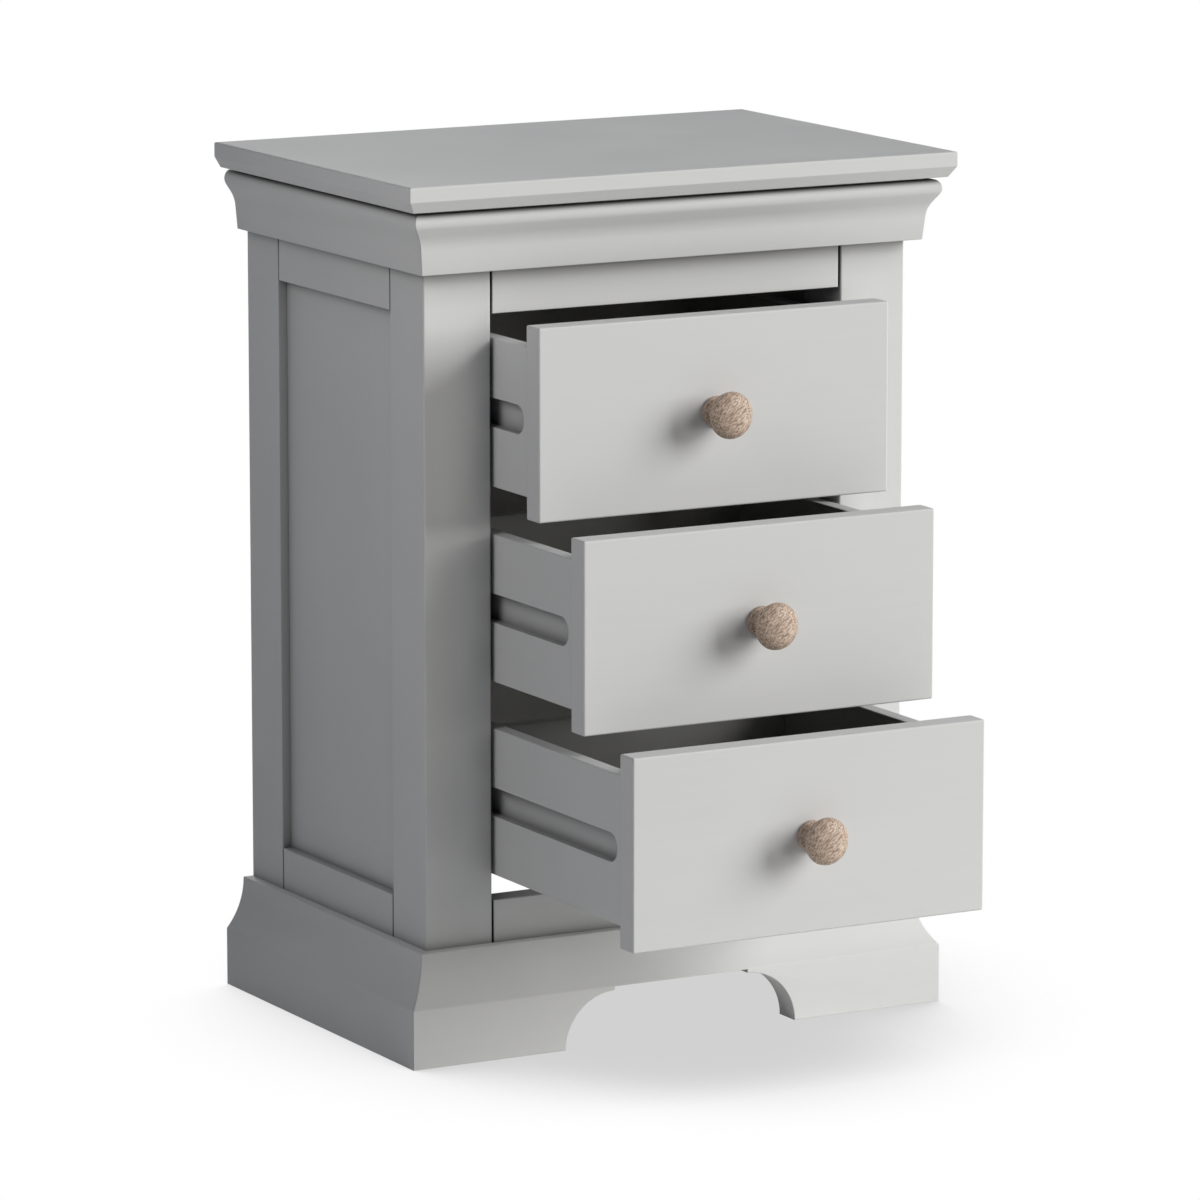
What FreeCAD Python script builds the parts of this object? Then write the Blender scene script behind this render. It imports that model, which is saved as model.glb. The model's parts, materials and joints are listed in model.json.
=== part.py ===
import FreeCAD, Part
import math
import os

# Painted bedside cabinet with three inset drawers, all sizes in millimetres.
# +X is to the right of a person facing the front, +Y goes back to the wall, +Z is up.
# The origin is on the floor, in the middle of the rectangle that the plinth covers.

Vector = FreeCAD.Vector

# Carcass
overall_height = 710.0
body_width = 442.0
body_depth = 315.0
post_width = 60.0
post_depth = 57.0
post_edge_radius = 1.5
rail_thickness = 22.0
rail_setback = 0.6
rail_edge_radius = 0.8
rail_shadow_gap = 1.8
top_rail_height = 88.3
opening_floor_height = 125.2
bottom_rail_height = 65.0
back_top_rail_height = 60.0
back_bottom_rail_height = 40.0
tenon_length = 20.0
tenon_shoulder = 8.0
mortise_clearance = 0.1

# Side panels, held in grooves of the posts and rails
panel_thickness = 9.0
panel_recess = 8.0
panel_groove_depth = 8.0
panel_edge_clearance = 0.5
panel_face_clearance = 0.1

# Back panel, let into rebates of the rear posts
back_panel_thickness = 6.0
back_rebate_width = 10.0
back_panel_clearance = 0.3

# Top board
top_thickness = 21.0
top_side_overhang = 29.0
top_front_overhang = 35.0
top_chamfer_height = 9.0
top_chamfer_depth = 5.5
top_edge_radius = 1.5

# Cornice moulding under the top board
cornice_height = 52.0
cornice_foot_projection = 8.0
cornice_foot_height = 9.0
cornice_nose_projection = 20.2
cornice_nose_radius = 10.5
cornice_nose_drop = 9.1
cornice_quirk_height = 2.5
cornice_quirk_depth = 3.0
cornice_front_extra = 6.0

# Plinth moulding, with an arch in its front
plinth_height = 90.5
plinth_projection = 24.5
plinth_top_projection = 8.6
plinth_fascia_height = 48.2
arch_half_width = 107.0
arch_radius = 45.0
arch_step = 3.0

# Drawers
drawer_gap = 3.0
drawer_top_gap = 1.8
drawer_side_gap = 1.3
drawer_front_thickness = 20.0
drawer_edge_radius = 1.5
drawer_side_thickness = 13.0
drawer_side_length = 280.0
drawer_side_setback = 2.0
drawer_side_inset = 17.7
drawer_side_edge_radius = 1.0
drawer_back_thickness = 12.0
drawer_back_drop = 12.0
drawer_bottom_thickness = 6.0
drawer_bottom_rise = 9.0
drawer_bottom_side_groove = 4.0
drawer_bottom_front_groove = 5.0
drawer_bottom_clearance = 0.1
dowel_radius = 3.0
dowel_length = 24.0
dowel_edge_distance = 20.0
dowel_clearance = 0.05

# How far each drawer stands open as modelled
top_drawer_opening = 78.0
middle_drawer_opening = 151.0
bottom_drawer_opening = 230.0

# Runners, each sliding in a groove of a drawer side
runner_thickness = 11.0
runner_height = 22.5
runner_rear_margin = 17.0
runner_top_clearance = 0.3
runner_bottom_clearance = 0.7
runner_side_clearance = 0.5
runner_stop_gap = 0.5
runner_groove_margin = 8.5

# Knobs, turned in oak: radii, and distances out from the drawer front
knob_base_radius = 12.5
knob_base_height = 3.5
knob_neck_radius = 8.0
knob_neck_distance = 10.5
knob_head_radius = 19.0
knob_head_distance = 24.0
knob_head_back = 5.0
knob_projection = 34.0
knob_hole_depth = 18.0

# Screws
screw_radius = 2.0
screw_head_radius = 4.0
screw_head_height = 2.4
screw_recess_width = 1.0
screw_recess_length = 4.6
screw_recess_depth = 1.3
screw_clearance = 0.1
runner_screw_length = 32.0
top_screw_length = 34.0
back_screw_length = 18.0
knob_screw_grip = 15.0
knob_screw_head_radius = 4.2
knob_screw_head_height = 2.6
post_screw_inset = 12.0

# Blocks that hold the top board to the rails
block_size = 22.0
block_length = 50.0

# The drawers from the lowest up, with how far each stands open
drawers = {
    "bottom_drawer": bottom_drawer_opening,
    "middle_drawer": middle_drawer_opening,
    "top_drawer": top_drawer_opening,
}

# Places worked out from the sizes above
half_body = body_width / 2
half_opening = half_body - post_width
half_drawer = half_opening - drawer_side_gap
half_box = half_drawer - drawer_side_setback
y_back = (body_depth + plinth_projection) / 2
y_front = y_back - body_depth
carcass_top = overall_height - top_thickness
opening_top = carcass_top - top_rail_height
drawer_pitch = (opening_top - opening_floor_height - drawer_top_gap) / len(drawers)
drawer_front_height = drawer_pitch - drawer_gap
panel_outer_x = half_body - panel_recess
panel_inner_x = panel_outer_x - panel_thickness
tenon_thickness = panel_thickness
groove_height = runner_height + runner_top_clearance + runner_bottom_clearance
groove_depth = runner_thickness - (half_opening - half_box) + runner_side_clearance

parts = {}


def near(first, second):
    """True where two coordinates are the same."""
    return abs(first - second) < 1e-6


def block(x0, x1, y0, y1, z0, z1):
    """A box between two corners."""
    return Part.makeBox(x1 - x0, y1 - y0, z1 - z0, Vector(x0, y0, z0))


def cylinder(start, end, radius):
    """A round bar between two points."""
    axis = end - start
    return Part.makeCylinder(radius, axis.Length, start, axis)


def mirrored(solid):
    """The same piece for the other side of the cabinet."""
    return solid.mirror(Vector(0, 0, 0), Vector(1, 0, 0))


def face_edges(solid, axis, value):
    """The edges of a solid that lie in the plane where one coordinate has a value."""
    chosen = []
    for edge in solid.Edges:
        if all(near(corner.Point[axis], value) for corner in edge.Vertexes):
            chosen.append(edge)
    return chosen


def upright_edges(solid, places):
    """The vertical edges of a solid at the given x and y places."""
    chosen = []
    for edge in solid.Edges:
        ends = [corner.Point for corner in edge.Vertexes]
        for x, y in places:
            if all(near(end.x, x) and near(end.y, y) for end in ends):
                chosen.append(edge)
    return chosen


def polygon_prism(points, depth):
    """A flat outline of straight sides, pushed along a vector."""
    return Part.Face(Part.makePolygon(points + points[:1])).extrude(depth)


def outline_prism(edges, depth):
    """A flat outline of lines and arcs, pushed along a vector."""
    return Part.Face(Part.Wire(edges)).extrude(depth)


def line(start, end):
    return Part.LineSegment(start, end).toShape()


def arc(start, middle, end):
    return Part.Arc(start, middle, end).toShape()


def add(name, solid):
    parts[name] = solid


# Top board
def make_top_board():
    half = half_body + top_side_overhang
    front = y_front - top_front_overhang
    shoulder = carcass_top + top_chamfer_height
    along_x = polygon_prism(
        [
            Vector(-half, y_back, carcass_top),
            Vector(-half, front + top_chamfer_depth, carcass_top),
            Vector(-half, front, shoulder),
            Vector(-half, front, overall_height),
            Vector(-half, y_back, overall_height),
        ],
        Vector(2 * half, 0, 0),
    )
    along_y = polygon_prism(
        [
            Vector(-half + top_chamfer_depth, front, carcass_top),
            Vector(-half, front, shoulder),
            Vector(-half, front, overall_height),
            Vector(half, front, overall_height),
            Vector(half, front, shoulder),
            Vector(half - top_chamfer_depth, front, carcass_top),
        ],
        Vector(0, y_back - front, 0),
    )
    board = along_x.common(along_y)
    return board.makeFillet(top_edge_radius, face_edges(board, 2, overall_height))


# Mouldings: an outline of projection and height, seen from the left end of the front
def cornice_outline(behind):
    """The cornice's section as (projection, height) edges, thickened behind its datum."""
    base = carcass_top - cornice_height
    cove_start = base + cornice_foot_height
    nose_height = carcass_top - cornice_nose_drop
    quirk_height = carcass_top - cornice_quirk_height
    rise = nose_height - cove_start
    swell = cornice_nose_projection - cornice_foot_projection
    turn = 2 * math.atan2(swell, rise)
    cove_radius = rise / math.sin(turn) - cornice_nose_radius
    nose_turn = math.asin((quirk_height - nose_height) / cornice_nose_radius)

    def cove(angle):
        return (
            cornice_foot_projection + cove_radius * (1 - math.cos(angle)),
            cove_start + cove_radius * math.sin(angle),
        )

    def nose(angle):
        return (
            cornice_nose_projection - cornice_nose_radius * (1 - math.cos(angle)),
            nose_height + cornice_nose_radius * math.sin(angle),
        )

    quirk = nose(nose_turn)[0] - cornice_quirk_depth
    return [
        ("line", (-behind, base), (cornice_foot_projection, base)),
        ("line", (cornice_foot_projection, base), cove(0)),
        ("arc", cove(0), cove(turn / 2), cove(turn)),
        ("arc", nose(-turn), nose((nose_turn - turn) / 2), nose(nose_turn)),
        ("line", nose(nose_turn), (quirk, quirk_height)),
        ("line", (quirk, quirk_height), (quirk, carcass_top)),
        ("line", (quirk, carcass_top), (-behind, carcass_top)),
        ("line", (-behind, carcass_top), (-behind, base)),
    ]


def plinth_outline(behind):
    """The plinth's section as (projection, height) edges: a cove over a plain fascia."""
    rise = plinth_height - plinth_fascia_height
    swell = plinth_projection - plinth_top_projection
    turn = 2 * math.atan2(swell, rise)
    radius = rise / math.sin(turn)

    def cove(angle):
        return (
            plinth_top_projection + radius * (1 - math.cos(angle)),
            plinth_height - radius * math.sin(angle),
        )

    return [
        ("line", (-behind, 0), (-behind, plinth_height)),
        ("line", (-behind, plinth_height), cove(0)),
        ("arc", cove(0), cove(turn / 2), cove(turn)),
        ("line", cove(turn), (plinth_projection, 0)),
        ("line", (plinth_projection, 0), (-behind, 0)),
    ]


def moulding(outline, place, run):
    """Push a section along a run; place turns (projection, height) into a point."""
    edges = []
    for kind, *points in outline:
        corners = [place(*point) for point in points]
        edges.append(line(*corners) if kind == "line" else arc(*corners))
    return outline_prism(edges, run)


def mitred_set(name, outline, front_extra, projection):
    """Front, left and right lengths of one moulding, mitred at the two front corners."""
    datum = y_front - front_extra
    reach = 2 * projection
    up = Vector(0, 0, overall_height)
    corner = Vector(-half_body, datum, 0)
    outside = Vector(-half_body - reach, datum - reach, 0)
    front = moulding(
        outline(front_extra),
        lambda out, height: Vector(outside.x, datum - out, height),
        Vector(-2 * outside.x, 0, 0),
    )
    past_mitre = polygon_prism(
        [corner, outside, Vector(outside.x, y_front + reach, 0), Vector(corner.x, y_front + reach, 0)], up
    )
    left = moulding(
        outline(0),
        lambda out, height: Vector(-half_body - out, y_back, height),
        Vector(0, outside.y - y_back, 0),
    )
    before_mitre = polygon_prism([corner, outside, Vector(corner.x, outside.y, 0)], up)
    add(name + "_front", cut_all(front, [past_mitre, mirrored(past_mitre)]))
    add(name + "_left", left.cut(before_mitre))
    add(name + "_right", mirrored(parts[name + "_left"]))


def make_cornice():
    mitred_set("cornice", cornice_outline, cornice_front_extra, cornice_nose_projection)


def make_plinth():
    mitred_set("plinth", plinth_outline, 0, plinth_projection)
    corner = arch_half_width - arch_radius
    height = arch_radius + arch_step
    bend = arch_radius * math.sqrt(0.5)

    def at(x, z):
        return Vector(x, y_front - plinth_projection, z)

    arch = outline_prism(
        [
            line(at(-arch_half_width, 0), at(arch_half_width, 0)),
            arc(at(arch_half_width, 0), at(corner + bend, bend), at(corner, arch_radius)),
            line(at(corner, arch_radius), at(corner, height)),
            line(at(corner, height), at(-corner, height)),
            line(at(-corner, height), at(-corner, arch_radius)),
            arc(at(-corner, arch_radius), at(-corner - bend, bend), at(-arch_half_width, 0)),
        ],
        Vector(0, plinth_projection, 0),
    )
    parts["plinth_front"] = parts["plinth_front"].cut(arch)


# Rails: (lowest height, highest height) of each band
front_bands = {
    "top": (opening_top, carcass_top),
    "bottom": (opening_floor_height - bottom_rail_height, opening_floor_height),
}
back_bands = {
    "top": (carcass_top - back_top_rail_height, carcass_top),
    "bottom": (opening_floor_height - back_bottom_rail_height, opening_floor_height),
}

front_rail_y = y_front + rail_setback
back_rail_y = y_back - back_panel_thickness - rail_thickness
tenon_inset = (rail_thickness - tenon_thickness) / 2


def cross_rail(y0, band, shoulder_gap):
    """A rail between two posts that face each other across the cabinet.

    Its tenons bottom in their mortises, which holds its shoulders off the posts by the gap.
    """
    z0, z1 = band
    half = half_opening - shoulder_gap
    reach = half_opening + tenon_length
    tenon_y = y0 + tenon_inset
    rail = block(-half, half, y0, y0 + rail_thickness, z0, z1)
    tenon = block(
        -reach,
        reach,
        tenon_y,
        tenon_y + tenon_thickness,
        z0 + tenon_shoulder,
        z1 - tenon_shoulder,
    )
    return rail.fuse(tenon).removeSplitter()


def cross_mortise(y0, band):
    """The hole in a left post for a cross rail's tenon."""
    z0, z1 = band
    gap = mortise_clearance
    return block(
        -half_opening - tenon_length,
        -half_opening + gap,
        y0 + tenon_inset - gap,
        y0 + tenon_inset + tenon_thickness + gap,
        z0 + tenon_shoulder - gap,
        z1 - tenon_shoulder + gap,
    )


def panel_slot(y0, y1, z0, z1):
    """The cut that a left side panel's edge or a side rail's tenon needs, between the given ends."""
    gap = panel_face_clearance
    return block(-panel_outer_x - gap, -panel_inner_x + gap, y0, y1, z0, z1)


def left_side_rail(band, panel_is_below):
    """A rail between the front and rear left posts, with tenons and a groove for the panel."""
    z0, z1 = band
    y0, y1 = y_front + post_depth, y_back - post_depth
    rail = block(
        -half_body,
        -half_body + rail_thickness,
        y0 + rail_shadow_gap,
        y1 - rail_shadow_gap,
        z0,
        z1,
    )
    rail = rail.makeFillet(rail_edge_radius, face_edges(rail, 0, -half_body))
    tenon = block(
        -panel_outer_x,
        -panel_inner_x,
        y0 - tenon_length,
        y1 + tenon_length,
        z0 + tenon_shoulder,
        z1 - tenon_shoulder,
    )
    if panel_is_below:
        groove = panel_slot(y0, y1, z0, z0 + panel_groove_depth)
    else:
        groove = panel_slot(y0, y1, z1 - panel_groove_depth, z1)
    return rail.fuse(tenon).cut(groove).removeSplitter()


def side_mortise(face_y, inward, band):
    """The hole in a left post for a side rail's tenon; inward is the direction into the post."""
    z0, z1 = band
    gap = mortise_clearance
    ends = sorted([face_y - inward * gap, face_y + inward * tenon_length])
    return panel_slot(ends[0], ends[1], z0 + tenon_shoulder - gap, z1 - tenon_shoulder + gap)


def panel_groove(face_y, inward):
    """The upright groove in a left post for the edge of the side panel."""
    y0, y1 = sorted([face_y, face_y + inward * panel_groove_depth])
    return panel_slot(y0, y1, opening_floor_height - panel_groove_depth, opening_top + panel_groove_depth)


def make_rails():
    for height, band in front_bands.items():
        front = cross_rail(front_rail_y, band, rail_shadow_gap)
        front = front.makeFillet(rail_edge_radius, face_edges(front, 1, front_rail_y))
        add("front_%s_rail" % height, front)
        add("left_side_%s_rail" % height, left_side_rail(band, height == "top"))
        add("right_side_%s_rail" % height, mirrored(parts["left_side_%s_rail" % height]))
    for height, band in back_bands.items():
        add("back_%s_rail" % height, cross_rail(back_rail_y, band, 0))


def make_side_panels():
    reach = panel_groove_depth - panel_edge_clearance
    panel = block(
        -panel_outer_x,
        -panel_inner_x,
        y_front + post_depth - reach,
        y_back - post_depth + reach,
        opening_floor_height - reach,
        opening_top + reach,
    )
    add("left_side_panel", panel)
    add("right_side_panel", mirrored(panel))


# Screws
def pointing(solid, start, direction):
    """Turn a piece made along +Z so that it starts at a point and runs in a direction."""
    turned = solid.copy()
    turned.Placement = FreeCAD.Placement(start, FreeCAD.Rotation(Vector(0, 0, 1), direction))
    return turned


def cross_recessed(head, z0):
    """A screw head with a cross recess cut upwards from the height z0."""
    half_long, half_wide = screw_recess_length / 2, screw_recess_width / 2
    for half_x, half_y in ((half_long, half_wide), (half_wide, half_long)):
        head = head.cut(block(-half_x, half_x, -half_y, half_y, z0, z0 + screw_recess_depth))
    return head


def countersunk_screw(length):
    """A wood screw along +Z with its flat head at the origin and a cross recess in it."""
    point = 2 * screw_radius
    profile = Part.makePolygon(
        [
            Vector(0, 0, 0),
            Vector(screw_head_radius, 0, 0),
            Vector(screw_radius, 0, screw_head_height),
            Vector(screw_radius, 0, length - point),
            Vector(0, 0, length),
            Vector(0, 0, 0),
        ]
    )
    body = Part.Face(profile).revolve(Vector(0, 0, 0), Vector(0, 0, 1), 360)
    return cross_recessed(body, 0)


def countersunk_hole(length):
    """The hole that a countersunk screw sits in, along +Z from the surface."""
    gap = screw_clearance
    cone = Part.makeCone(screw_head_radius + gap, screw_radius + gap, screw_head_height)
    return cone.fuse(Part.makeCylinder(screw_radius + gap, length + gap))


def runner_centre(index):
    """The height of a runner's middle for the drawer with that place in the stack."""
    return groove_centre(index) + (runner_bottom_clearance - runner_top_clearance) / 2


def groove_centre(index):
    """The height of the middle of a drawer's front, sides and runner groove."""
    return opening_floor_height + drawer_gap + index * drawer_pitch + drawer_front_height / 2


runner_screw_places = (y_front + post_depth - post_screw_inset, y_back - post_depth + post_screw_inset)
runner_inner_x = half_opening - runner_thickness
runner_nose_y = y_front + drawer_front_thickness + runner_groove_margin + runner_stop_gap


def runner_screws_at(index):
    """Start points of the left runner's screws, which run into the posts."""
    return [Vector(-runner_inner_x, y, runner_centre(index)) for y in runner_screw_places]


def cut_all(solid, tools):
    """Cut a row of tools out of a solid."""
    for tool in tools:
        solid = solid.cut(tool)
    return solid


def left_screw_holes():
    hole = countersunk_hole(runner_screw_length)
    holes = []
    for index in range(len(drawers)):
        holes += [pointing(hole, start, Vector(-1, 0, 0)) for start in runner_screws_at(index)]
    return holes


# Places of the screws through the back panel: into the posts, then into the back rails
def back_screw_points():
    post_x = half_opening + back_rebate_width / 2
    levels = [groove_centre(index) for index in range(len(drawers))]
    points = [Vector(side * post_x, y_back, level) for side in (-1, 1) for level in levels]
    for z0, z1 in back_bands.values():
        points += [Vector(side * half_opening / 2, y_back, (z0 + z1) / 2) for side in (-1, 0, 1)]
    return points


def back_screw_holes():
    hole = countersunk_hole(back_screw_length)
    return [pointing(hole, point, Vector(0, -1, 0)) for point in back_screw_points()]


# Posts
def make_posts():
    x0, x1 = -half_body, -half_opening
    front_face, rear_face = y_front + post_depth, y_back - post_depth

    front = block(x0, x1, y_front, front_face, 0, carcass_top)
    front = front.makeFillet(post_edge_radius, upright_edges(front, [(x0, y_front), (x1, y_front)]))
    front = front.makeFillet(rail_edge_radius, upright_edges(front, [(x0, front_face)]))
    cuts = [panel_groove(front_face, -1)]
    for band in front_bands.values():
        cuts += [cross_mortise(front_rail_y, band), side_mortise(front_face, -1, band)]
    front = cut_all(front, cuts + left_screw_holes())
    add("front_left_post", front)
    add("front_right_post", mirrored(front))

    rear = block(x0, x1, rear_face, y_back, 0, carcass_top)
    rear = rear.makeFillet(post_edge_radius, upright_edges(rear, [(x0, y_back)]))
    rear = rear.makeFillet(rail_edge_radius, upright_edges(rear, [(x0, rear_face)]))
    rebate = block(
        x1 - back_rebate_width,
        x1,
        y_back - back_panel_thickness,
        y_back,
        back_bands["bottom"][0],
        carcass_top,
    )
    cuts = [panel_groove(rear_face, 1), rebate]
    for band in front_bands.values():
        cuts.append(side_mortise(rear_face, 1, band))
    for band in back_bands.values():
        cuts.append(cross_mortise(back_rail_y, band))
    rear = cut_all(rear, cuts + left_screw_holes() + back_screw_holes())
    add("rear_left_post", rear)
    add("rear_right_post", mirrored(rear))


def make_back_panel():
    half = half_opening + back_rebate_width - back_panel_clearance
    z0 = back_bands["bottom"][0] + back_panel_clearance
    z1 = carcass_top - back_panel_clearance
    panel = block(-half, half, y_back - back_panel_thickness, y_back, z0, z1)
    add("back_panel", cut_all(panel, back_screw_holes()))
    for height in back_bands:
        name = "back_%s_rail" % height
        parts[name] = cut_all(parts[name], back_screw_holes())
    screw = countersunk_screw(back_screw_length)
    screws = [pointing(screw, point, Vector(0, -1, 0)) for point in back_screw_points()]
    add("back_panel_screws", Part.makeCompound(screws))


# Runners
def slot_prism(x0, x1, nose_y, end_y, middle_z, height):
    """A bar along Y whose nose end is a half round, for a runner or the groove it slides in."""
    radius = height / 2
    low, high = middle_z - radius, middle_z + radius
    centre_y = nose_y + radius
    return outline_prism(
        [
            arc(Vector(x0, centre_y, low), Vector(x0, nose_y, middle_z), Vector(x0, centre_y, high)),
            line(Vector(x0, centre_y, high), Vector(x0, end_y, high)),
            line(Vector(x0, end_y, high), Vector(x0, end_y, low)),
            line(Vector(x0, end_y, low), Vector(x0, centre_y, low)),
        ],
        Vector(x1 - x0, 0, 0),
    )


def make_runners():
    screw = countersunk_screw(runner_screw_length)
    screws = []
    for index, name in enumerate(drawers):
        bar = slot_prism(
            -half_opening,
            -runner_inner_x,
            runner_nose_y,
            y_back - runner_rear_margin,
            runner_centre(index),
            runner_height,
        )
        bar = cut_all(bar, left_screw_holes())
        add(name + "_left_runner", bar)
        add(name + "_right_runner", mirrored(bar))
        for start in runner_screws_at(index):
            left = pointing(screw, start, Vector(-1, 0, 0))
            screws += [left, mirrored(left)]
    add("runner_screws", Part.makeCompound(screws))


# Blocks in the top corners of the carcass, and the screws through them into the top board
def make_top_fixings():
    z0 = carcass_top - block_size
    inner = half_body - rail_thickness
    front, rear = y_front + post_depth, y_back - post_depth
    screw = countersunk_screw(top_screw_length)
    hole = countersunk_hole(top_screw_length)
    sites = []
    for y in (front + block_length / 2, rear - block_length / 2):
        for side in (-1, 1):
            sites.append((side * (inner - block_size / 2), y, block_size / 2, block_length / 2))
    sites.append((0, front_rail_y + rail_thickness + block_size / 2, block_length / 2, block_size / 2))
    sites.append((0, back_rail_y - block_size / 2, block_length / 2, block_size / 2))
    blocks, screws = [], []
    for x, y, half_x, half_y in sites:
        start = Vector(x, y, z0)
        cut = pointing(hole, start, Vector(0, 0, 1))
        blocks.append(block(x - half_x, x + half_x, y - half_y, y + half_y, z0, carcass_top).cut(cut))
        parts["top_board"] = parts["top_board"].cut(cut)
        screws.append(pointing(screw, start, Vector(0, 0, 1)))
    add("top_fixing_blocks", Part.makeCompound(blocks))
    add("top_fixing_screws", Part.makeCompound(screws))


# Drawers
def knob_solid():
    """A turned knob along +Z, standing on the origin: base, waisted neck and domed head."""

    def at(radius, distance):
        return Vector(radius, 0, distance)

    def head(angle, depth):
        return at(knob_head_radius * math.cos(angle), knob_head_distance + depth * math.sin(angle))

    head_front = knob_projection - knob_head_distance
    dome = Part.BSplineCurve()
    dome.interpolate(
        Points=[head(angle, head_front) for angle in (0, math.pi / 4, math.pi / 2)],
        InitialTangent=Vector(0, 0, 1),
        FinalTangent=Vector(-1, 0, 0),
    )
    waist = Part.BSplineCurve()
    waist.interpolate(
        Points=[
            at(knob_base_radius, knob_base_height),
            at(knob_neck_radius, knob_neck_distance),
            head(-math.pi / 4, knob_head_back),
            head(0, knob_head_back),
        ],
        InitialTangent=Vector(-1, 0, 0),
        FinalTangent=Vector(0, 0, 1),
    )
    outline = Part.Wire(
        [
            line(at(0, 0), at(knob_base_radius, 0)),
            line(at(knob_base_radius, 0), at(knob_base_radius, knob_base_height)),
            waist.toShape(),
            dome.toShape(),
            line(at(0, knob_projection), at(0, 0)),
        ]
    )
    knob = Part.Face(outline).revolve(Vector(0, 0, 0), Vector(0, 0, 1), 360)
    hole = Part.makeCylinder(screw_radius + screw_clearance, knob_hole_depth)
    return knob.cut(hole)


def knob_screw_solid():
    """A machine screw along +Z with a rounded head that starts below the origin."""
    shank = Part.makeCylinder(screw_radius, drawer_front_thickness + knob_screw_grip)
    crown = -knob_screw_head_height
    head = Part.makeCylinder(knob_screw_head_radius, knob_screw_head_height, Vector(0, 0, crown))
    head = head.makeFillet(knob_screw_head_height / 2, face_edges(head, 2, crown))
    return shank.fuse(cross_recessed(head, crown)).removeSplitter()


def make_drawer(name, index, opening):
    """One drawer: front, two grooved sides, back, bottom, dowels, knob and the knob's screw."""
    middle = groove_centre(index)
    z0, z1 = middle - drawer_front_height / 2, middle + drawer_front_height / 2
    y0 = y_front - opening
    y1 = y0 + drawer_front_thickness
    y2 = y1 + drawer_side_length
    side_z0, side_z1 = z0 + drawer_side_inset, z1 - drawer_side_inset
    inner_x = half_box - drawer_side_thickness
    bottom_z0 = side_z0 + drawer_bottom_rise
    bottom_z1 = bottom_z0 + drawer_bottom_thickness
    gap = drawer_bottom_clearance
    bottom_half = inner_x + drawer_bottom_side_groove - gap
    bottom_y0 = y1 - drawer_bottom_front_groove + gap

    bottom = block(-bottom_half, bottom_half, bottom_y0, y2, bottom_z0, bottom_z1)
    bottom_cut = block(
        -bottom_half - gap,
        bottom_half + gap,
        bottom_y0 - gap,
        y2 + gap,
        bottom_z0 - gap,
        bottom_z1 + gap,
    )

    along = Vector(0, dowel_length, 0)
    dowels, dowel_holes = [], []
    for side in (-1, 1):
        across = Vector(-side * dowel_length, 0, 0)
        for z in (side_z0 + dowel_edge_distance, side_z1 - dowel_edge_distance):
            at_front = Vector(side * (half_box - drawer_side_thickness / 2), y1 - dowel_length / 2, z)
            at_back = Vector(side * half_box, y2 - drawer_back_thickness / 2, z)
            for start, run in ((at_front, along), (at_back, across)):
                dowels.append(cylinder(start, start + run, dowel_radius))
                dowel_holes.append(cylinder(start, start + run, dowel_radius + dowel_clearance))

    front = block(-half_drawer, half_drawer, y0, y1, z0, z1)
    back_edges = face_edges(front, 1, y1)
    shown = [edge for edge in front.Edges if not any(edge.isSame(other) for other in back_edges)]
    front = front.makeFillet(drawer_edge_radius, shown)
    knob_at = Vector(0, y0, middle)
    inside = Vector(0, y1, middle)
    bolt_hole = cylinder(inside, knob_at, screw_radius + screw_clearance)
    front = cut_all(front, [bottom_cut, bolt_hole] + dowel_holes)

    side = block(-half_box, -inner_x, y1, y2, side_z0, side_z1)
    long_edges = [edge for edge in face_edges(side, 2, side_z1) if near(edge.Length, drawer_side_length)]
    side = side.makeFillet(drawer_side_edge_radius, long_edges)
    groove = slot_prism(
        -half_box - gap,
        -half_box + groove_depth,
        y1 + runner_groove_margin,
        y2 + gap,
        middle,
        groove_height,
    )
    side = cut_all(side, [groove, bottom_cut] + dowel_holes)

    back = block(-inner_x, inner_x, y2 - drawer_back_thickness, y2, bottom_z1, side_z1 - drawer_back_drop)
    back = cut_all(back, dowel_holes)

    add(name + "_front", front)
    add(name + "_left_side", side)
    add(name + "_right_side", mirrored(side))
    add(name + "_back", back)
    add(name + "_bottom", bottom)
    add(name + "_dowels", Part.makeCompound(dowels))
    add(name + "_knob", pointing(knob_solid(), knob_at, Vector(0, -1, 0)))
    add(name + "_knob_screw", pointing(knob_screw_solid(), inside, Vector(0, -1, 0)))


def main():
    add("top_board", make_top_board())
    make_cornice()
    make_plinth()
    make_rails()
    make_side_panels()
    make_posts()
    make_back_panel()
    make_runners()
    make_top_fixings()
    for index, (name, opening) in enumerate(drawers.items()):
        make_drawer(name, index, opening)
    os.makedirs("parts", exist_ok=True)
    for name, shape in parts.items():
        shape.exportStep("parts/%s.step" % name)
        volume = sum(solid.Volume for solid in shape.Solids)
        print("%-28s %2d solid(s) %9.1f cm3 %s" % (name, len(shape.Solids), volume / 1000, shape.isValid()))


main()
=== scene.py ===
"""Dresses a painted bedside cabinet with three drawers and stands it on a white studio floor."""

import json
import math

import bmesh
import bpy
from bpy.props import FloatProperty, FloatVectorProperty, PointerProperty
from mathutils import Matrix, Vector
from mathutils.geometry import interpolate_bezier

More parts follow.
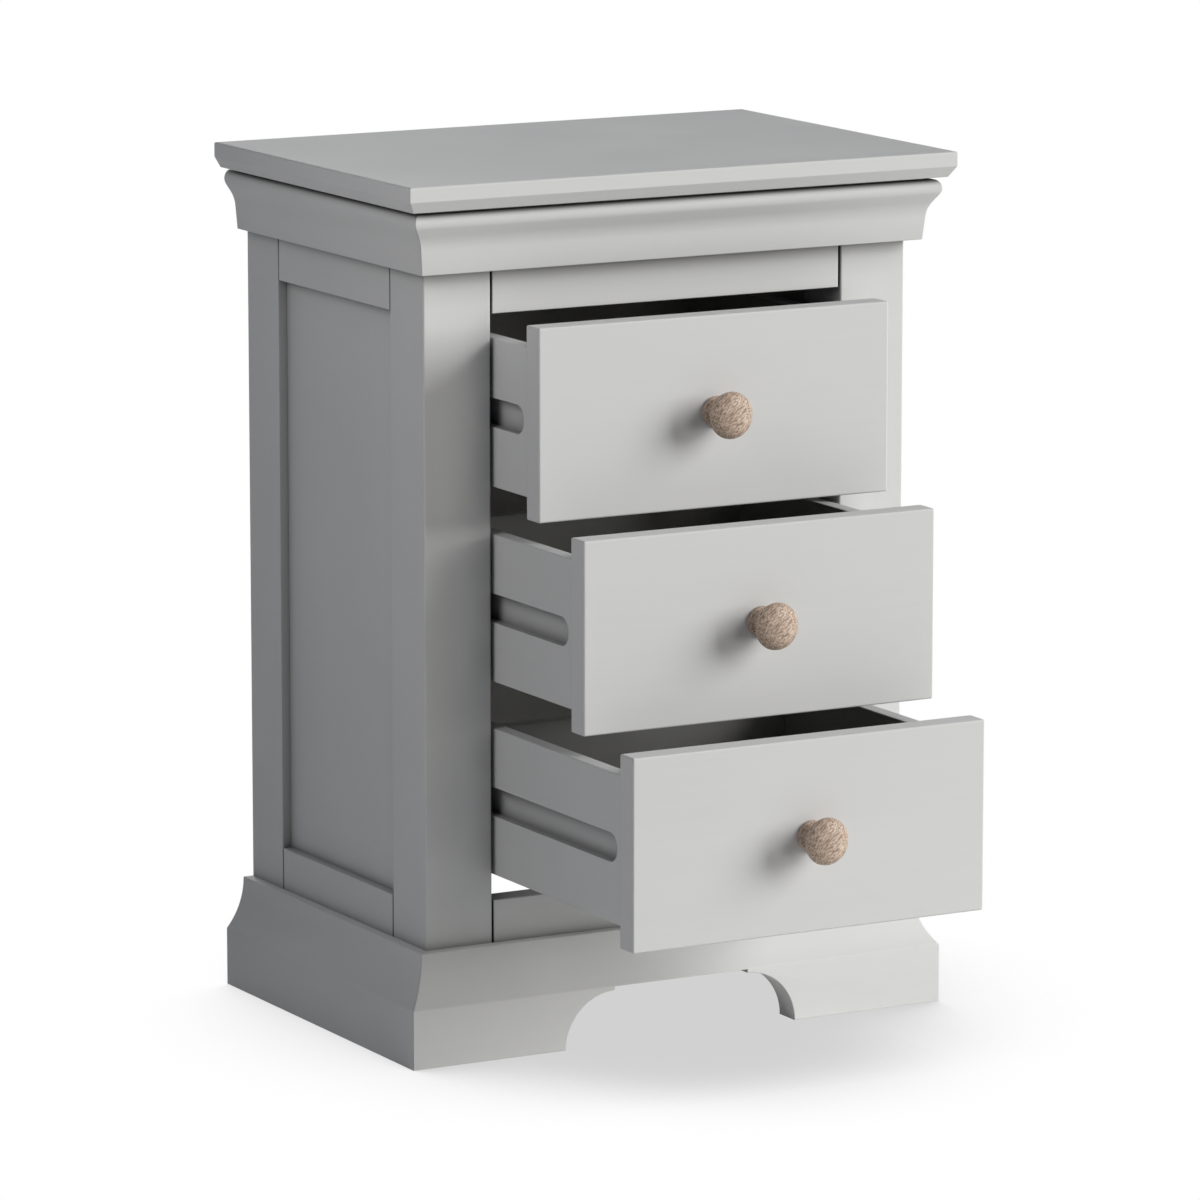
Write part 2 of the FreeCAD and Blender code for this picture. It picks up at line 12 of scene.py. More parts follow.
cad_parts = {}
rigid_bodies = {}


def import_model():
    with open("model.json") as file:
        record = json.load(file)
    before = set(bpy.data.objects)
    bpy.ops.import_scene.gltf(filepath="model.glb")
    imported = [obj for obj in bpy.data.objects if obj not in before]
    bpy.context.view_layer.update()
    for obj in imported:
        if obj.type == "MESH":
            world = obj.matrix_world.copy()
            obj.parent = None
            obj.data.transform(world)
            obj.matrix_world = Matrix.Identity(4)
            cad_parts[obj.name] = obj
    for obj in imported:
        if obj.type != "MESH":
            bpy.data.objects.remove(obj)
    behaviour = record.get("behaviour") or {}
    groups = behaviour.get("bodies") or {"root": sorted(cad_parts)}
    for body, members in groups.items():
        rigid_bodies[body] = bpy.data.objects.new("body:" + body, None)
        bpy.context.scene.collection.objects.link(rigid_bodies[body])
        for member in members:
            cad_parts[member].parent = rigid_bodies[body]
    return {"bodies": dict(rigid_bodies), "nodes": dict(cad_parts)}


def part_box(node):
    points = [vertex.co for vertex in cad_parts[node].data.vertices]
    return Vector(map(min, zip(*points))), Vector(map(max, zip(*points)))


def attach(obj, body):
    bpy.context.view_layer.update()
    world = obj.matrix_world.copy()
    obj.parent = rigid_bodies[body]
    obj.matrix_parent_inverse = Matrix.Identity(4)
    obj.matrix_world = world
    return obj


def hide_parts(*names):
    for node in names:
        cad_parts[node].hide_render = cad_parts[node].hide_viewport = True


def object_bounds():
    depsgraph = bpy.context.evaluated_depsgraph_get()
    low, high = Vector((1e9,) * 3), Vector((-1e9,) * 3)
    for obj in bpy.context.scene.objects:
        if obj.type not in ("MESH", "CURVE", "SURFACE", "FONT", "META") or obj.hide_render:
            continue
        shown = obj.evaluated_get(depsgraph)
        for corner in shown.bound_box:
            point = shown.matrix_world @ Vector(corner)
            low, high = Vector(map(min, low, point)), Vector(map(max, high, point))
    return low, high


bl_info = {
    "name": "Bedside Cabinet",
    "version": (1, 0, 0),
    "blender": (4, 5, 0),
    "location": "3D View > Sidebar > Cabinet",
    "description": "Finishes a painted bedside cabinet with drawers and lights it for a picture",
    "category": "Object",
}

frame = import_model()
cad_low, cad_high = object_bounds()

DRAWERS = [body for body in frame["bodies"] if body.endswith("_drawer")]
SIDES = ("left", "right")

# Boards by the direction their paint was brushed in: upright, across the width, or front to back
BOARDS = {
    "upright": [end + "_" + side + "_post" for end in ("front", "rear") for side in SIDES]
    + [side + "_side_panel" for side in SIDES]
    + ["back_panel"],
    "level": [end + "_" + height + "_rail" for end in ("front", "back") for height in ("top", "bottom")]
    + [drawer + board for drawer in DRAWERS for board in ("_front", "_back", "_bottom")]
    + ["top_board"],
    "deep": [side + "_side_" + height + "_rail" for side in SIDES for height in ("top", "bottom")]
    + [drawer + "_" + side + "_side" for drawer in DRAWERS for side in SIDES],
}
BRUSH_TURN = {"upright": (0, math.pi / 2, 0), "level": (0, 0, 0), "deep": (0, 0, -math.pi / 2)}
# The direction in which each board of a drawer looks into it
INWARD = {
    "left": (1, 0, 0),
    "right": (-1, 0, 0),
    "front": (0, 1, 0),
    "back": (0, -1, 0),
    "bottom": (0, 0, 1),
}

# Noise features per metre along the brush strokes or the grain, and across them
PAINT_CLOUDS = (7.0, 9.0, 9.0)
PAINT_STROKES = (3.0, 190.0, 190.0)
PAINT_PEEL = (420.0, 420.0, 420.0)
GROWTH_LINES = (22.0, 380.0, 380.0)
BROAD_BANDS = (6.0, 75.0, 75.0)
PORE_DASHES = (190.0, 1200.0, 1200.0)
RAY_FLECKS = (1200.0, 600.0, 600.0)
# How often the grain wanders in a metre, and how far
GRAIN_WANDER = 26.0
GRAIN_DRIFT = 0.007
KNOB_GRAIN_TURN = (0, math.radians(38.0), 0)

# How far each finish rounds edges over, how strongly its relief shows and how deep that relief is
ARRIS = {"paint": 0.0009, "wood": 0.0006, "zinc": 0.0002}
RELIEF = {"paint": 0.10, "wood": 0.25, "zinc": 0.05}
RELIEF_DEPTH = 0.0003
# Painted highlight: how much lighter the paint is painted along its edges; and how far the cornice's own
# painted shade spreads, against the usual ones
EDGE_HIGHLIGHT = 1.05
CORNICE_PAINTED_SHADE = 0.5
# How fast the painted shade in joints and hollows falls off
PAINTED_SHADE_CURVE = 1.1

# Shading turns sharp at this angle, and points closer than this are one
SHARP_CORNER = math.radians(32.0)
MERGE = 1e-6
# How far a curve's handles reach towards a corner to round it like a circle
ROUND = 0.55
# How far the arch's cutter stands past the board that it cuts
CUTTER_MARGIN = 0.01
# A moulding's strip behind its corner line is made only if it is thicker than this
THINNEST = 1e-5
# The least length between two points of an outline at a flat step
FLAT_STEP = 0.00002
# Fixes how far each screw's cross happens to be turned
SCREW_SEED = 3

# Each soft lamp's watts, tint, degrees to the right of the front, degrees up, width and distance
LAMPS = {
    "key": (708.0, (1.0, 1.0, 0.99), 53.0, 20.0, 4.5, 8.0),
    "front": (35.7, (1.0, 0.952, 0.832), 15.0, 8.0, 2.0, 5.0),
    "near": (2.74, (1.0, 0.985, 0.975), -75.0, 35.0, 0.6, 1.2),
    "back": (95.0, (1.0, 1.0, 1.0), 170.0, 5.0, 1.5, 5.0),
}
FLOOR_RADIUS = 1.8
SENSOR_WIDTH = 36.0

VECTOR, COLOUR, VALUE = "NodeSocketVector", "NodeSocketColor", "NodeSocketFloat"
FINISH = {"Colour": COLOUR, "Roughness": VALUE, "Height": VALUE}


def number(name, description, default, **limits):
    """A number that a user may change."""
    return FloatProperty(name=name, description=description, default=default, **limits)


def size(name, description, default):
    """A length that a user may change."""
    return number(name, description, default, min=0.0, precision=4, subtype="DISTANCE", unit="LENGTH")


def share(name, description, default):
    """A plain factor that a user may change."""
    return number(name, description, default, min=0.0, max=1.0, subtype="FACTOR")


def angle(name, description, degrees):
    """An angle that a user may change."""
    return number(name, description, math.radians(degrees), subtype="ANGLE", unit="ROTATION")


def power(name, description, default):
    """A lamp's strength in watts."""
    return number(name, description, default, min=0.0, unit="POWER")


def colour(name, description, default):
    """A colour that a user may change, in linear light."""
    return FloatVectorProperty(
        name=name, description=description, default=default, size=3, min=0.0, max=1.0, subtype="COLOR"
    )


class CabinetSizes(bpy.types.PropertyGroup):
    """Sizes of the mouldings, knobs and screws that the frame's boxes don't give"""

    cornice_foot_projection: size("Cornice foot", "How far the cornice's plain foot stands out", 0.0085)
    cornice_foot_lean: angle("Cornice lean", "How far the plain face under the hollow leans out", 5.4)
    cornice_hollow_radius: size("Cornice hollow", "Radius of the hollow under the nose", 0.026)
    cornice_slope: angle("Cornice slope", "How far the slope between hollow and nose leans out", 33.5)
    cornice_nose_radius: size("Cornice nose", "Radius of the nose under its furthest line", 0.0095)
    cornice_crown_radius: size("Cornice crown", "Radius of the nose above its furthest line", 0.0074)
    cornice_nose_drop: size("Nose drop", "How far the nose's furthest line lies under the top board", 0.0091)
    cornice_quirk_height: size("Quirk height", "Height of the sunk line under the top board", 0.0025)
    cornice_quirk_depth: size("Quirk depth", "Depth of the sunk line under the top board", 0.0045)
    plinth_top_projection: size("Plinth top", "How far the plinth's thin upper edge stands out", 0.0086)
    plinth_fascia_height: size("Plinth fascia", "Height of the plain face under the hollow", 0.0482)
    arch_half_width: size("Arch half width", "Half the width of the arch at the floor", 0.107)
    arch_radius: size("Arch radius", "Radius of the arch's rounded ends", 0.045)
    arch_step: size("Arch step", "Height of the step where the arch's flat middle begins", 0.003)
    arris_radius: size("Arris radius", "How much the mouldings' sharp corners are eased", 0.0006)
    knob_base_radius: size("Knob base radius", "Radius of the knob's foot", 0.0125)
    knob_base_height: size("Knob base height", "Height of the knob's foot", 0.0035)
    knob_base_ease: size("Knob base ease", "How much the foot's edge at the drawer is eased", 0.0007)
    knob_rim_ease: size("Knob rim ease", "How much the foot's outer rim is eased", 0.0013)
    knob_neck_radius: size("Knob neck radius", "Radius of the knob at its thinnest", 0.008)
    knob_neck_distance: size("Knob neck distance", "Distance of the thinnest place from the drawer", 0.0105)
    knob_neck_rise: size("Knob neck rise", "How far the neck runs on before it widens", 0.0030)
    knob_head_distance: size("Knob head distance", "Distance of the widest place from the drawer", 0.024)
    knob_head_back: size("Knob head back", "Depth of the round behind the widest place", 0.005)
    knob_head_run: size("Knob head run", "How far the neck follows the head's back", 0.0034)
    knob_hole_radius: size("Knob hole radius", "Radius of the hole for the knob's screw", 0.0021)
    knob_hole_depth: size("Knob hole depth", "Depth of the hole for the knob's screw", 0.018)
    screw_radius: size("Screw radius", "Radius of the screws' shanks", 0.002)
    screw_head_height: size("Screw head height", "Depth of a countersunk head", 0.0024)
    screw_rim: size("Screw rim", "Height of the thin rim round a countersunk head", 0.0002)
    screw_recess_length: size("Recess length", "Length of each arm pair of the cross recess", 0.0046)
    screw_recess_width: size("Recess width", "Width of the cross recess's arms", 0.001)
    screw_recess_depth: size("Recess depth", "Depth of the cross recess", 0.0013)
    bolt_head_height: size("Bolt head height", "Height of the rounded head inside each drawer", 0.0026)
    bolt_chamfer: size("Bolt chamfer", "Chamfer at the end of a knob's screw", 0.0005)


class CabinetFinishes(bpy.types.PropertyGroup):
    """Colours and sheen of the cabinet's paint, woods and metal"""

    paint: colour("Paint", "Satin grey paint on every board", (0.62, 0.62, 0.615))
    paint_roughness: share("Paint roughness", "How matt the paint is", 0.58)
    paint_sheen: share("Paint sheen", "How much the paint mirrors", 0.3)
    # Painted shade: the faces that look into a drawer are coloured darker than the paint, standing in for
    # the shade inside
    inside: colour("Inside", "Dark finish on the faces that look into a drawer", (0.30, 0.297, 0.29))
    # Painted shade: the paint is darkened in joints and hollows, and a knob's oak in its neck, by how closed
    # in they are
    joint_reach: size("Joint reach", "How far the darkening round joints and hollows spreads", 0.030)
    joint_depth: share("Joint depth", "How dark joints and hollows are", 1.0)
    wood_shade_reach: size("Wood shade reach", "How far the darkening in a knob's neck spreads", 0.020)
    oak_pale: colour("Oak, pale", "Late wood of the knobs", (0.67, 0.53, 0.43))
    oak_dark: colour("Oak, dark", "Early wood of the knobs", (0.50, 0.37, 0.285))
    oak_pore: colour("Oak, pores", "Open pores of the knobs", (0.17, 0.11, 0.07))
    beech_pale: colour("Beech, pale", "Runners, blocks and dowels", (0.61, 0.43, 0.26))
    beech_dark: colour("Beech, dark", "Grain of the runners, blocks and dowels", (0.48, 0.31, 0.17))
    zinc: colour("Zinc", "Plating of the screws", (0.62, 0.61, 0.58))


class CabinetStudio(bpy.types.PropertyGroup):
    """The camera, the lamps and the white floor"""

    camera_place: FloatVectorProperty(
        name="Camera place",
        description="Where the camera stands",
        default=(-2.7643, -5.0518, 1.3927),
        size=3,
        subtype="TRANSLATION",
        unit="LENGTH",
    )
    camera_turn: angle("Camera turn", "How far the camera stands round to the left of the front", 28.843)
    camera_tilt: angle("Camera tilt", "How far the camera looks down", 10.427)
    camera_lens: number("Camera lens", "Focal length on a 36 mm sensor", 212.56, min=1.0, unit="CAMERA")
    room_strength: share("Room light", "Strength of the even light from all round", 0.040)
    room_colour: colour("Room colour", "Tint of the even light from all round", (0.40, 0.60, 1.0))
    floor_bounce: share("Floor bounce", "How much light the floor throws back at the cabinet", 0.90)
    # A painted shadow on the floor, dimmed by how closed in the floor is
    shadow_reach: size("Shadow reach", "How high above the floor things still shade it", 0.48)
    shadow_core: share("Shadow core", "Openness of the floor where its shadow is deepest", 0.31)
    shadow_edge: share("Shadow edge", "Openness of the floor where its shadow ends", 0.80)
    shadow_tone: share("Shadow tone", "Brightness of the deepest shadow on the floor", 0.637)


for key, (watts, tint, turn, rise, width, distance) in LAMPS.items():
    label = key.capitalize() + " lamp "
    CabinetStudio.__annotations__.update(
        {
            key + "_power": power(label + "power", "Strength of the soft lamp", watts),
            key + "_colour": colour(label + "colour", "Tint of the soft lamp", tint),
            key + "_turn": angle(label + "turn", "How far the lamp stands to the right of the front", turn),
            key + "_rise": angle(label + "rise", "How high the lamp stands", rise),
            key + "_width": size(label + "width", "Width of the soft lamp", width),
            key + "_distance": size(label + "distance", "Distance from the cabinet's middle", distance),
        }
    )


def sizes():
    return bpy.context.scene.cabinet_sizes


def finishes():
    return bpy.context.scene.cabinet_finishes


def studio():
    return bpy.context.scene.cabinet_studio


def opaque(rgb):
    """A colour property as the four numbers that a colour socket takes."""
    return (rgb[0], rgb[1], rgb[2], 1.0)


def made_once(collection):
    """Decorator: a node group or material is made once, and then found again by its name.

    Its name joins the function's own name and its options, and is the function's first argument.
    """

    def decorate(make):
        def find(*options):
            name = "_".join([make.__name__, *map(str, options)])
            return getattr(bpy.data, collection).get(name) or make(name, *options)

        return find

    return decorate


def wire(tree, kind, inputs=None, **settings):
    """Adds a node to a tree; an input is a value, or another node's output to link."""
    made = tree.nodes.new(kind)
    for key, value in settings.items():
        setattr(made, key, value)
    for key, value in (inputs or {}).items():
        if isinstance(value, bpy.types.NodeSocket):
            tree.links.new(value, made.inputs[key])
        else:
            made.inputs[key].default_value = value
    return made


def grouped(tree, group, inputs):
    """A node that brings a shared node group into a tree."""
    return wire(tree, "ShaderNodeGroup", inputs, node_tree=group)


def calc(tree, operation, *values):
    """The output of one Math node."""
    return wire(tree, "ShaderNodeMath", dict(enumerate(values)), operation=operation).outputs[0]


def combined(tree, operation, first, second):
    """The output of one Vector Math node, which is a number for a dot product."""
    made = wire(tree, "ShaderNodeVectorMath", {0: first, 1: second}, operation=operation)
    return made.outputs["Value" if operation == "DOT_PRODUCT" else "Vector"]


def scaled(tree, vector, factor):
    """A colour or vector times a number."""
    return wire(tree, "ShaderNodeVectorMath", {0: vector, "Scale": factor}, operation="SCALE").outputs[0]


def ramp(tree, value, low, high):
    """A value stretched so that low becomes 0 and high becomes 1."""
    inputs = {"Value": value, "From Min": low, "From Max": high}
    return wire(tree, "ShaderNodeMapRange", inputs).outputs[0]


def stretched_noise(tree, vector, stretch, detail):
    """Noise whose size along each axis is set by a stretch vector, in features per metre."""
    inputs = {"Vector": combined(tree, "MULTIPLY", vector, stretch), "Scale": 1.0, "Detail": detail}
    return wire(tree, "ShaderNodeTexNoise", inputs).outputs[0]


def mixed(tree, first, second, factor):
    """One colour turning into another by a factor."""
    mix = wire(tree, "ShaderNodeMix", {0: factor, 6: first, 7: second}, data_type="RGBA")
    return mix.outputs[2]


def new_tree(name, kind, inputs, outputs):
    """An empty node group with sockets of given labels and types, and the outputs of its input node."""
    tree = bpy.data.node_groups.new(name, kind)
    for in_out, sockets in (("INPUT", inputs), ("OUTPUT", outputs)):
        for label, socket_type in sockets.items():
            tree.interface.new_socket(label, in_out=in_out, socket_type=socket_type)
    return tree, tree.nodes.new("NodeGroupInput").outputs


@made_once("node_groups")
def paint_film(name):
    """Brushed paint with its strokes along X: faint tone changes, sheen and relief."""
    inputs = {"Vector": VECTOR, "Colour": COLOUR, "Roughness": VALUE, "Unevenness": VALUE, "Brushing": VALUE}
    group, given = new_tree(name, "ShaderNodeTree", inputs, FINISH)
    cloud = calc(group, "SUBTRACT", stretched_noise(group, given["Vector"], PAINT_CLOUDS, 3.0), 0.5)
    stroke = calc(group, "SUBTRACT", stretched_noise(group, given["Vector"], PAINT_STROKES, 2.0), 0.5)
    peel = stretched_noise(group, given["Vector"], PAINT_PEEL, 1.0)
    tone = calc(group, "MULTIPLY_ADD", cloud, given["Unevenness"], 1.0)
    tone = calc(group, "MULTIPLY_ADD", stroke, given["Brushing"], tone)
    sheen = calc(group, "MULTIPLY_ADD", cloud, 0.30, given["Roughness"])
    outputs = {
        "Colour": scaled(group, given["Colour"], tone),
        "Roughness": calc(group, "MULTIPLY_ADD", stroke, 0.20, sheen),
        "Height": calc(group, "MULTIPLY_ADD", peel, 0.5, stroke),
    }
    wire(group, "NodeGroupOutput", outputs)
    return group


@made_once("node_groups")
def soft_arris(name):
    """Normals rounded over at edges, and a mask of those edges where the paint gets a painted highlight."""
    group, given = new_tree(name, "ShaderNodeTree", {"Radius": VALUE}, {"Normal": VECTOR, "Edge": VALUE})
    rounded = wire(group, "ShaderNodeBevel", {"Radius": given["Radius"]}, samples=6).outputs["Normal"]
    plain = wire(group, "ShaderNodeNewGeometry").outputs["Normal"]
    alike = combined(group, "DOT_PRODUCT", rounded, plain)
    wire(group, "NodeGroupOutput", {"Normal": rounded, "Edge": ramp(group, alike, 1.0, 0.85)})
    return group


@made_once("node_groups")
def joint_shade(name, painted_shade_from):
    """Painted shade: a colour darkened in joints and hollows, by how closed in they are by the whole cabinet
    or by one piece alone.
    """
    inputs = {"Colour": COLOUR, "Reach": VALUE, "Depth": VALUE}
    group, given = new_tree(name, "ShaderNodeTree", inputs, {"Colour": COLOUR})
    reached = wire(
        group,
        "ShaderNodeAmbientOcclusion",
        {"Distance": given["Reach"]},
        samples=8,
        only_local=painted_shade_from == "alone",
    )
    covered = calc(group, "SUBTRACT", 1.0, reached.outputs["AO"])
    covered = calc(group, "POWER", covered, PAINTED_SHADE_CURVE)
    kept = calc(group, "SUBTRACT", 1.0, calc(group, "MULTIPLY", covered, given["Depth"]))
    wire(group, "NodeGroupOutput", {"Colour": scaled(group, given["Colour"], kept)})
    return group


@made_once("node_groups")
def inner_face(name):
    """A mask of the faces that look in one direction, for the painted shade inside a drawer."""
    group, given = new_tree(name, "ShaderNodeTree", {"Inward": VECTOR}, {"Mask": VALUE})
    plain = wire(group, "ShaderNodeNewGeometry").outputs["True Normal"]
    alike = combined(group, "DOT_PRODUCT", plain, given["Inward"])
    wire(group, "NodeGroupOutput", {"Mask": ramp(group, alike, 0.7, 0.9)})
    return group


@made_once("node_groups")
def wood_figure(name):
    """Wood with its grain along X: growth lines, broad bands and open pores."""
    inputs = {"Vector": VECTOR, "Pale": COLOUR, "Dark": COLOUR, "Pore": COLOUR}
    inputs.update({"Pore Amount": VALUE, "Roughness": VALUE})
    group, given = new_tree(name, "ShaderNodeTree", inputs, FINISH)
    wander = {"Vector": given["Vector"], "Scale": GRAIN_WANDER, "Detail": 2.0}
    drift = scaled(group, wire(group, "ShaderNodeTexNoise", wander).outputs["Color"], GRAIN_DRIFT)
    vector = combined(group, "ADD", given["Vector"], drift)
    lines = ramp(group, stretched_noise(group, vector, GROWTH_LINES, 3.0), 0.36, 0.64)
    bands = ramp(group, stretched_noise(group, vector, BROAD_BANDS, 1.0), 0.30, 0.70)
    dashes = ramp(group, stretched_noise(group, vector, PORE_DASHES, 0.0), 0.46, 0.62)
    flecks = ramp(group, stretched_noise(group, vector, RAY_FLECKS, 0.0), 0.52, 0.66)
    pores = calc(group, "MAXIMUM", dashes, calc(group, "MULTIPLY", flecks, 0.6))
    pores = calc(group, "MULTIPLY", pores, given["Pore Amount"])
    grain = calc(group, "MULTIPLY_ADD", bands, 0.4, calc(group, "MULTIPLY", lines, 0.6))
    grown = mixed(group, given["Pale"], given["Dark"], grain)
    outputs = {
        "Colour": mixed(group, grown, given["Pore"], pores),
        "Roughness": calc(group, "MULTIPLY_ADD", pores, 0.25, given["Roughness"]),
        "Height": calc(group, "SUBTRACT", calc(group, "MULTIPLY", lines, 0.25), pores),
    }
    wire(group, "NodeGroupOutput", outputs)
    return group


def emptied(owner):
    """The node tree of a material or a world, with nothing in it."""
    owner.use_nodes = True
    owner.node_tree.nodes.clear()
    return owner.node_tree


def blank_material(name):
    """A new material with one Principled shader, its tree and that shader."""
    material = bpy.data.materials.new(name)
    tree = emptied(material)
    shader = wire(tree, "ShaderNodeBsdfPrincipled")
    wire(tree, "ShaderNodeOutputMaterial", {"Surface": shader.outputs["BSDF"]})
    return material, tree, shader


def turned_coordinates(tree, turn, centre=(0, 0, 0)):
    """Object coordinates measured from a centre and turned so that a pattern's length runs along X."""
    place = wire(tree, "ShaderNodeTexCoord").outputs["Object"]
    inputs = {"Vector": combined(tree, "SUBTRACT", place, centre), "Rotation": turn}
    return wire(tree, "ShaderNodeMapping", inputs).outputs[0]


def in_joints(tree, tone, painted_shade_from, reach):
    """A tone with painted shade in joints and hollows."""
    inputs = {"Colour": tone, "Reach": reach, "Depth": finishes().joint_depth}
    return grouped(tree, joint_shade(painted_shade_from), inputs).outputs["Colour"]


def surface(tree, shader, tone, film, arris, strength):
    """Joins a tone, a film's sheen and relief and the rounded edges to a shader."""
    relief = wire(
        tree,
        "ShaderNodeBump",
        {
            "Strength": strength,
            "Distance": RELIEF_DEPTH,
            "Height": film.outputs["Height"],
            "Normal": arris.outputs["Normal"],
        },
    )
    tree.links.new(tone, shader.inputs["Base Color"])
    tree.links.new(film.outputs["Roughness"], shader.inputs["Roughness"])
    tree.links.new(relief.outputs["Normal"], shader.inputs["Normal"])


@made_once("materials")
def grey_paint(name, run, facing, painted_shade_from, reach_share):
    """The cabinet's paint, brushed in one of the three directions.

    facing says which way the board's inner face looks, which takes a darker colour as painted shade, or all
    where it has none.
    painted_shade_from says whether the whole cabinet or the board alone casts its painted shade in joints
    and hollows, and reach_share how far that spreads.
    """
    material, tree, shader = blank_material(name)
    shader.inputs["Specular IOR Level"].default_value = finishes().paint_sheen
    film = grouped(
        tree,
        paint_film(),
        {
            "Vector": turned_coordinates(tree, BRUSH_TURN[run]),
            "Colour": opaque(finishes().paint),
            "Roughness": finishes().paint_roughness,
            "Unevenness": 0.05,
            "Brushing": 0.03,
        },
    )
    arris = grouped(tree, soft_arris(), {"Radius": ARRIS["paint"]})
    # Painted highlight: the paint is lightened along its rounded edges
    highlighted = scaled(tree, film.outputs["Colour"], EDGE_HIGHLIGHT)
    tone = mixed(tree, film.outputs["Colour"], highlighted, arris.outputs["Edge"])
    # Painted shade: faces that look into the drawer take the darker inside colour
    if facing in INWARD:
        inner = grouped(tree, inner_face(), {"Inward": INWARD[facing]})
        tone = mixed(tree, tone, opaque(finishes().inside), inner.outputs["Mask"])
    # Painted shade, darker the more closed in a joint or hollow is
    tone = in_joints(tree, tone, painted_shade_from, finishes().joint_reach * reach_share)
    surface(tree, shader, tone, film, arris, RELIEF["paint"])
    return material


def board_facing(node):
    """Which way a drawer board's inner face looks, by the side that its name gives."""
    words = node.split("_drawer_")[-1].split("_")
    return next(side for side in INWARD if side in words)


def wood(name, tones, turn, centre, pore_amount, roughness):
    """A bare or oiled wood whose grain runs along the turned X."""
    material, tree, shader = blank_material(name)
    pale, dark, pore = map(opaque, tones)
    figure = grouped(
        tree,
        wood_figure(),
        {
            "Vector": turned_coordinates(tree, turn, centre),
            "Pale": pale,
            "Dark": dark,
            "Pore": pore,
            "Pore Amount": pore_amount,
            "Roughness": roughness,
        },
    )
    arris = grouped(tree, soft_arris(), {"Radius": ARRIS["wood"]})
    # Painted shade in the wood's hollows, such as a knob's neck, darker the more closed in they are
    tone = in_joints(tree, figure.outputs["Colour"], "alone", finishes().wood_shade_reach)
    surface(tree, shader, tone, figure, arris, RELIEF["wood"])
    return material


def knob_oak(drawer, centre):
    """Oiled oak, its grain slanting up to the right across the knob's face."""
    tones = (finishes().oak_pale, finishes().oak_dark, finishes().oak_pore)
    return wood(drawer + "_knob_oak", tones, KNOB_GRAIN_TURN, centre, pore_amount=0.75, roughness=0.58)


@made_once("materials")
def planed_beech(name, run):
    """Bare beech for runners, blocks and dowels."""
    tones = (finishes().beech_pale, finishes().beech_dark, finishes().beech_dark)
    return wood(name, tones, BRUSH_TURN[run], (0, 0, 0), pore_amount=0.35, roughness=0.60)


@made_once("materials")
def zinc_plate(name):
    """Zinc plating with faint cloudy sheen."""
    material, tree, shader = blank_material(name)
    shader.inputs["Metallic"].default_value = 1.0
    film = grouped(
        tree,
        paint_film(),
        {
            "Vector": turned_coordinates(tree, (0, 0, 0)),
            "Colour": opaque(finishes().zinc),
            "Roughness": 0.34,
            "Unevenness": 0.25,
            "Brushing": 0.15,
        },
    )
    arris = grouped(tree, soft_arris(), {"Radius": ARRIS["zinc"]})
    surface(tree, shader, film.outputs["Colour"], film, arris, RELIEF["zinc"])
    return material


def dress(node, material):
    """Puts a material on a board that keeps its modelled shape."""
    for slot in frame["nodes"][node].material_slots:
        slot.material = material


def stand(name, data):
    """A new object in the scene."""
    made = bpy.data.objects.new(name, data)
    bpy.context.scene.collection.objects.link(made)
    return made


def discard(made, collection):
    """Removes a helper object, and its data from the collection that holds it."""
    data = made.data
    bpy.data.objects.remove(made)
    collection.remove(data)


def shown_mesh(made):
    """A new mesh of an object as its modifiers show it."""
    evaluated = made.evaluated_get(bpy.context.evaluated_depsgraph_get())
    return bpy.data.meshes.new_from_object(evaluated)


def closed_mesh(name, bm):
    """A mesh from a bmesh, with doubles merged and faces pointing outwards."""
    bmesh.ops.remove_doubles(bm, verts=bm.verts, dist=MERGE)
    bmesh.ops.recalc_face_normals(bm, faces=bm.faces)
    mesh = bpy.data.meshes.new(name)
    bm.to_mesh(mesh)
    bm.free()
    return mesh


def place_piece(name, mesh, body, material, node):
    """Shows a finished mesh in place of a node, moving with a body, smooth but for its corners."""
    mesh.shade_smooth()
    mesh.set_sharp_from_angle(angle=SHARP_CORNER)
    mesh.materials.clear()
    mesh.materials.append(material)
    piece = stand(name, mesh)
    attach(piece, body)
    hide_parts(node)


def arc_points(centre, radius, start, end, steps, along=None):
    """Points of an arc round a centre, between two angles; along is an oval's other radius."""
    along = along or radius
    turns = [start + (end - start) * step / steps for step in range(steps + 1)]
    return [(centre[0] + radius * math.cos(turn), centre[1] + along * math.sin(turn)) for turn in turns]


def eased(before, corner, after, radius):
    """Four points that round a corner over."""
    corner = Vector(corner)
    start = corner + (Vector(before) - corner).normalized() * radius
    end = corner + (Vector(after) - corner).normalized() * radius
    curve = interpolate_bezier(start, start.lerp(corner, ROUND), end.lerp(corner, ROUND), end, 4)
    return [tuple(point) for point in curve]


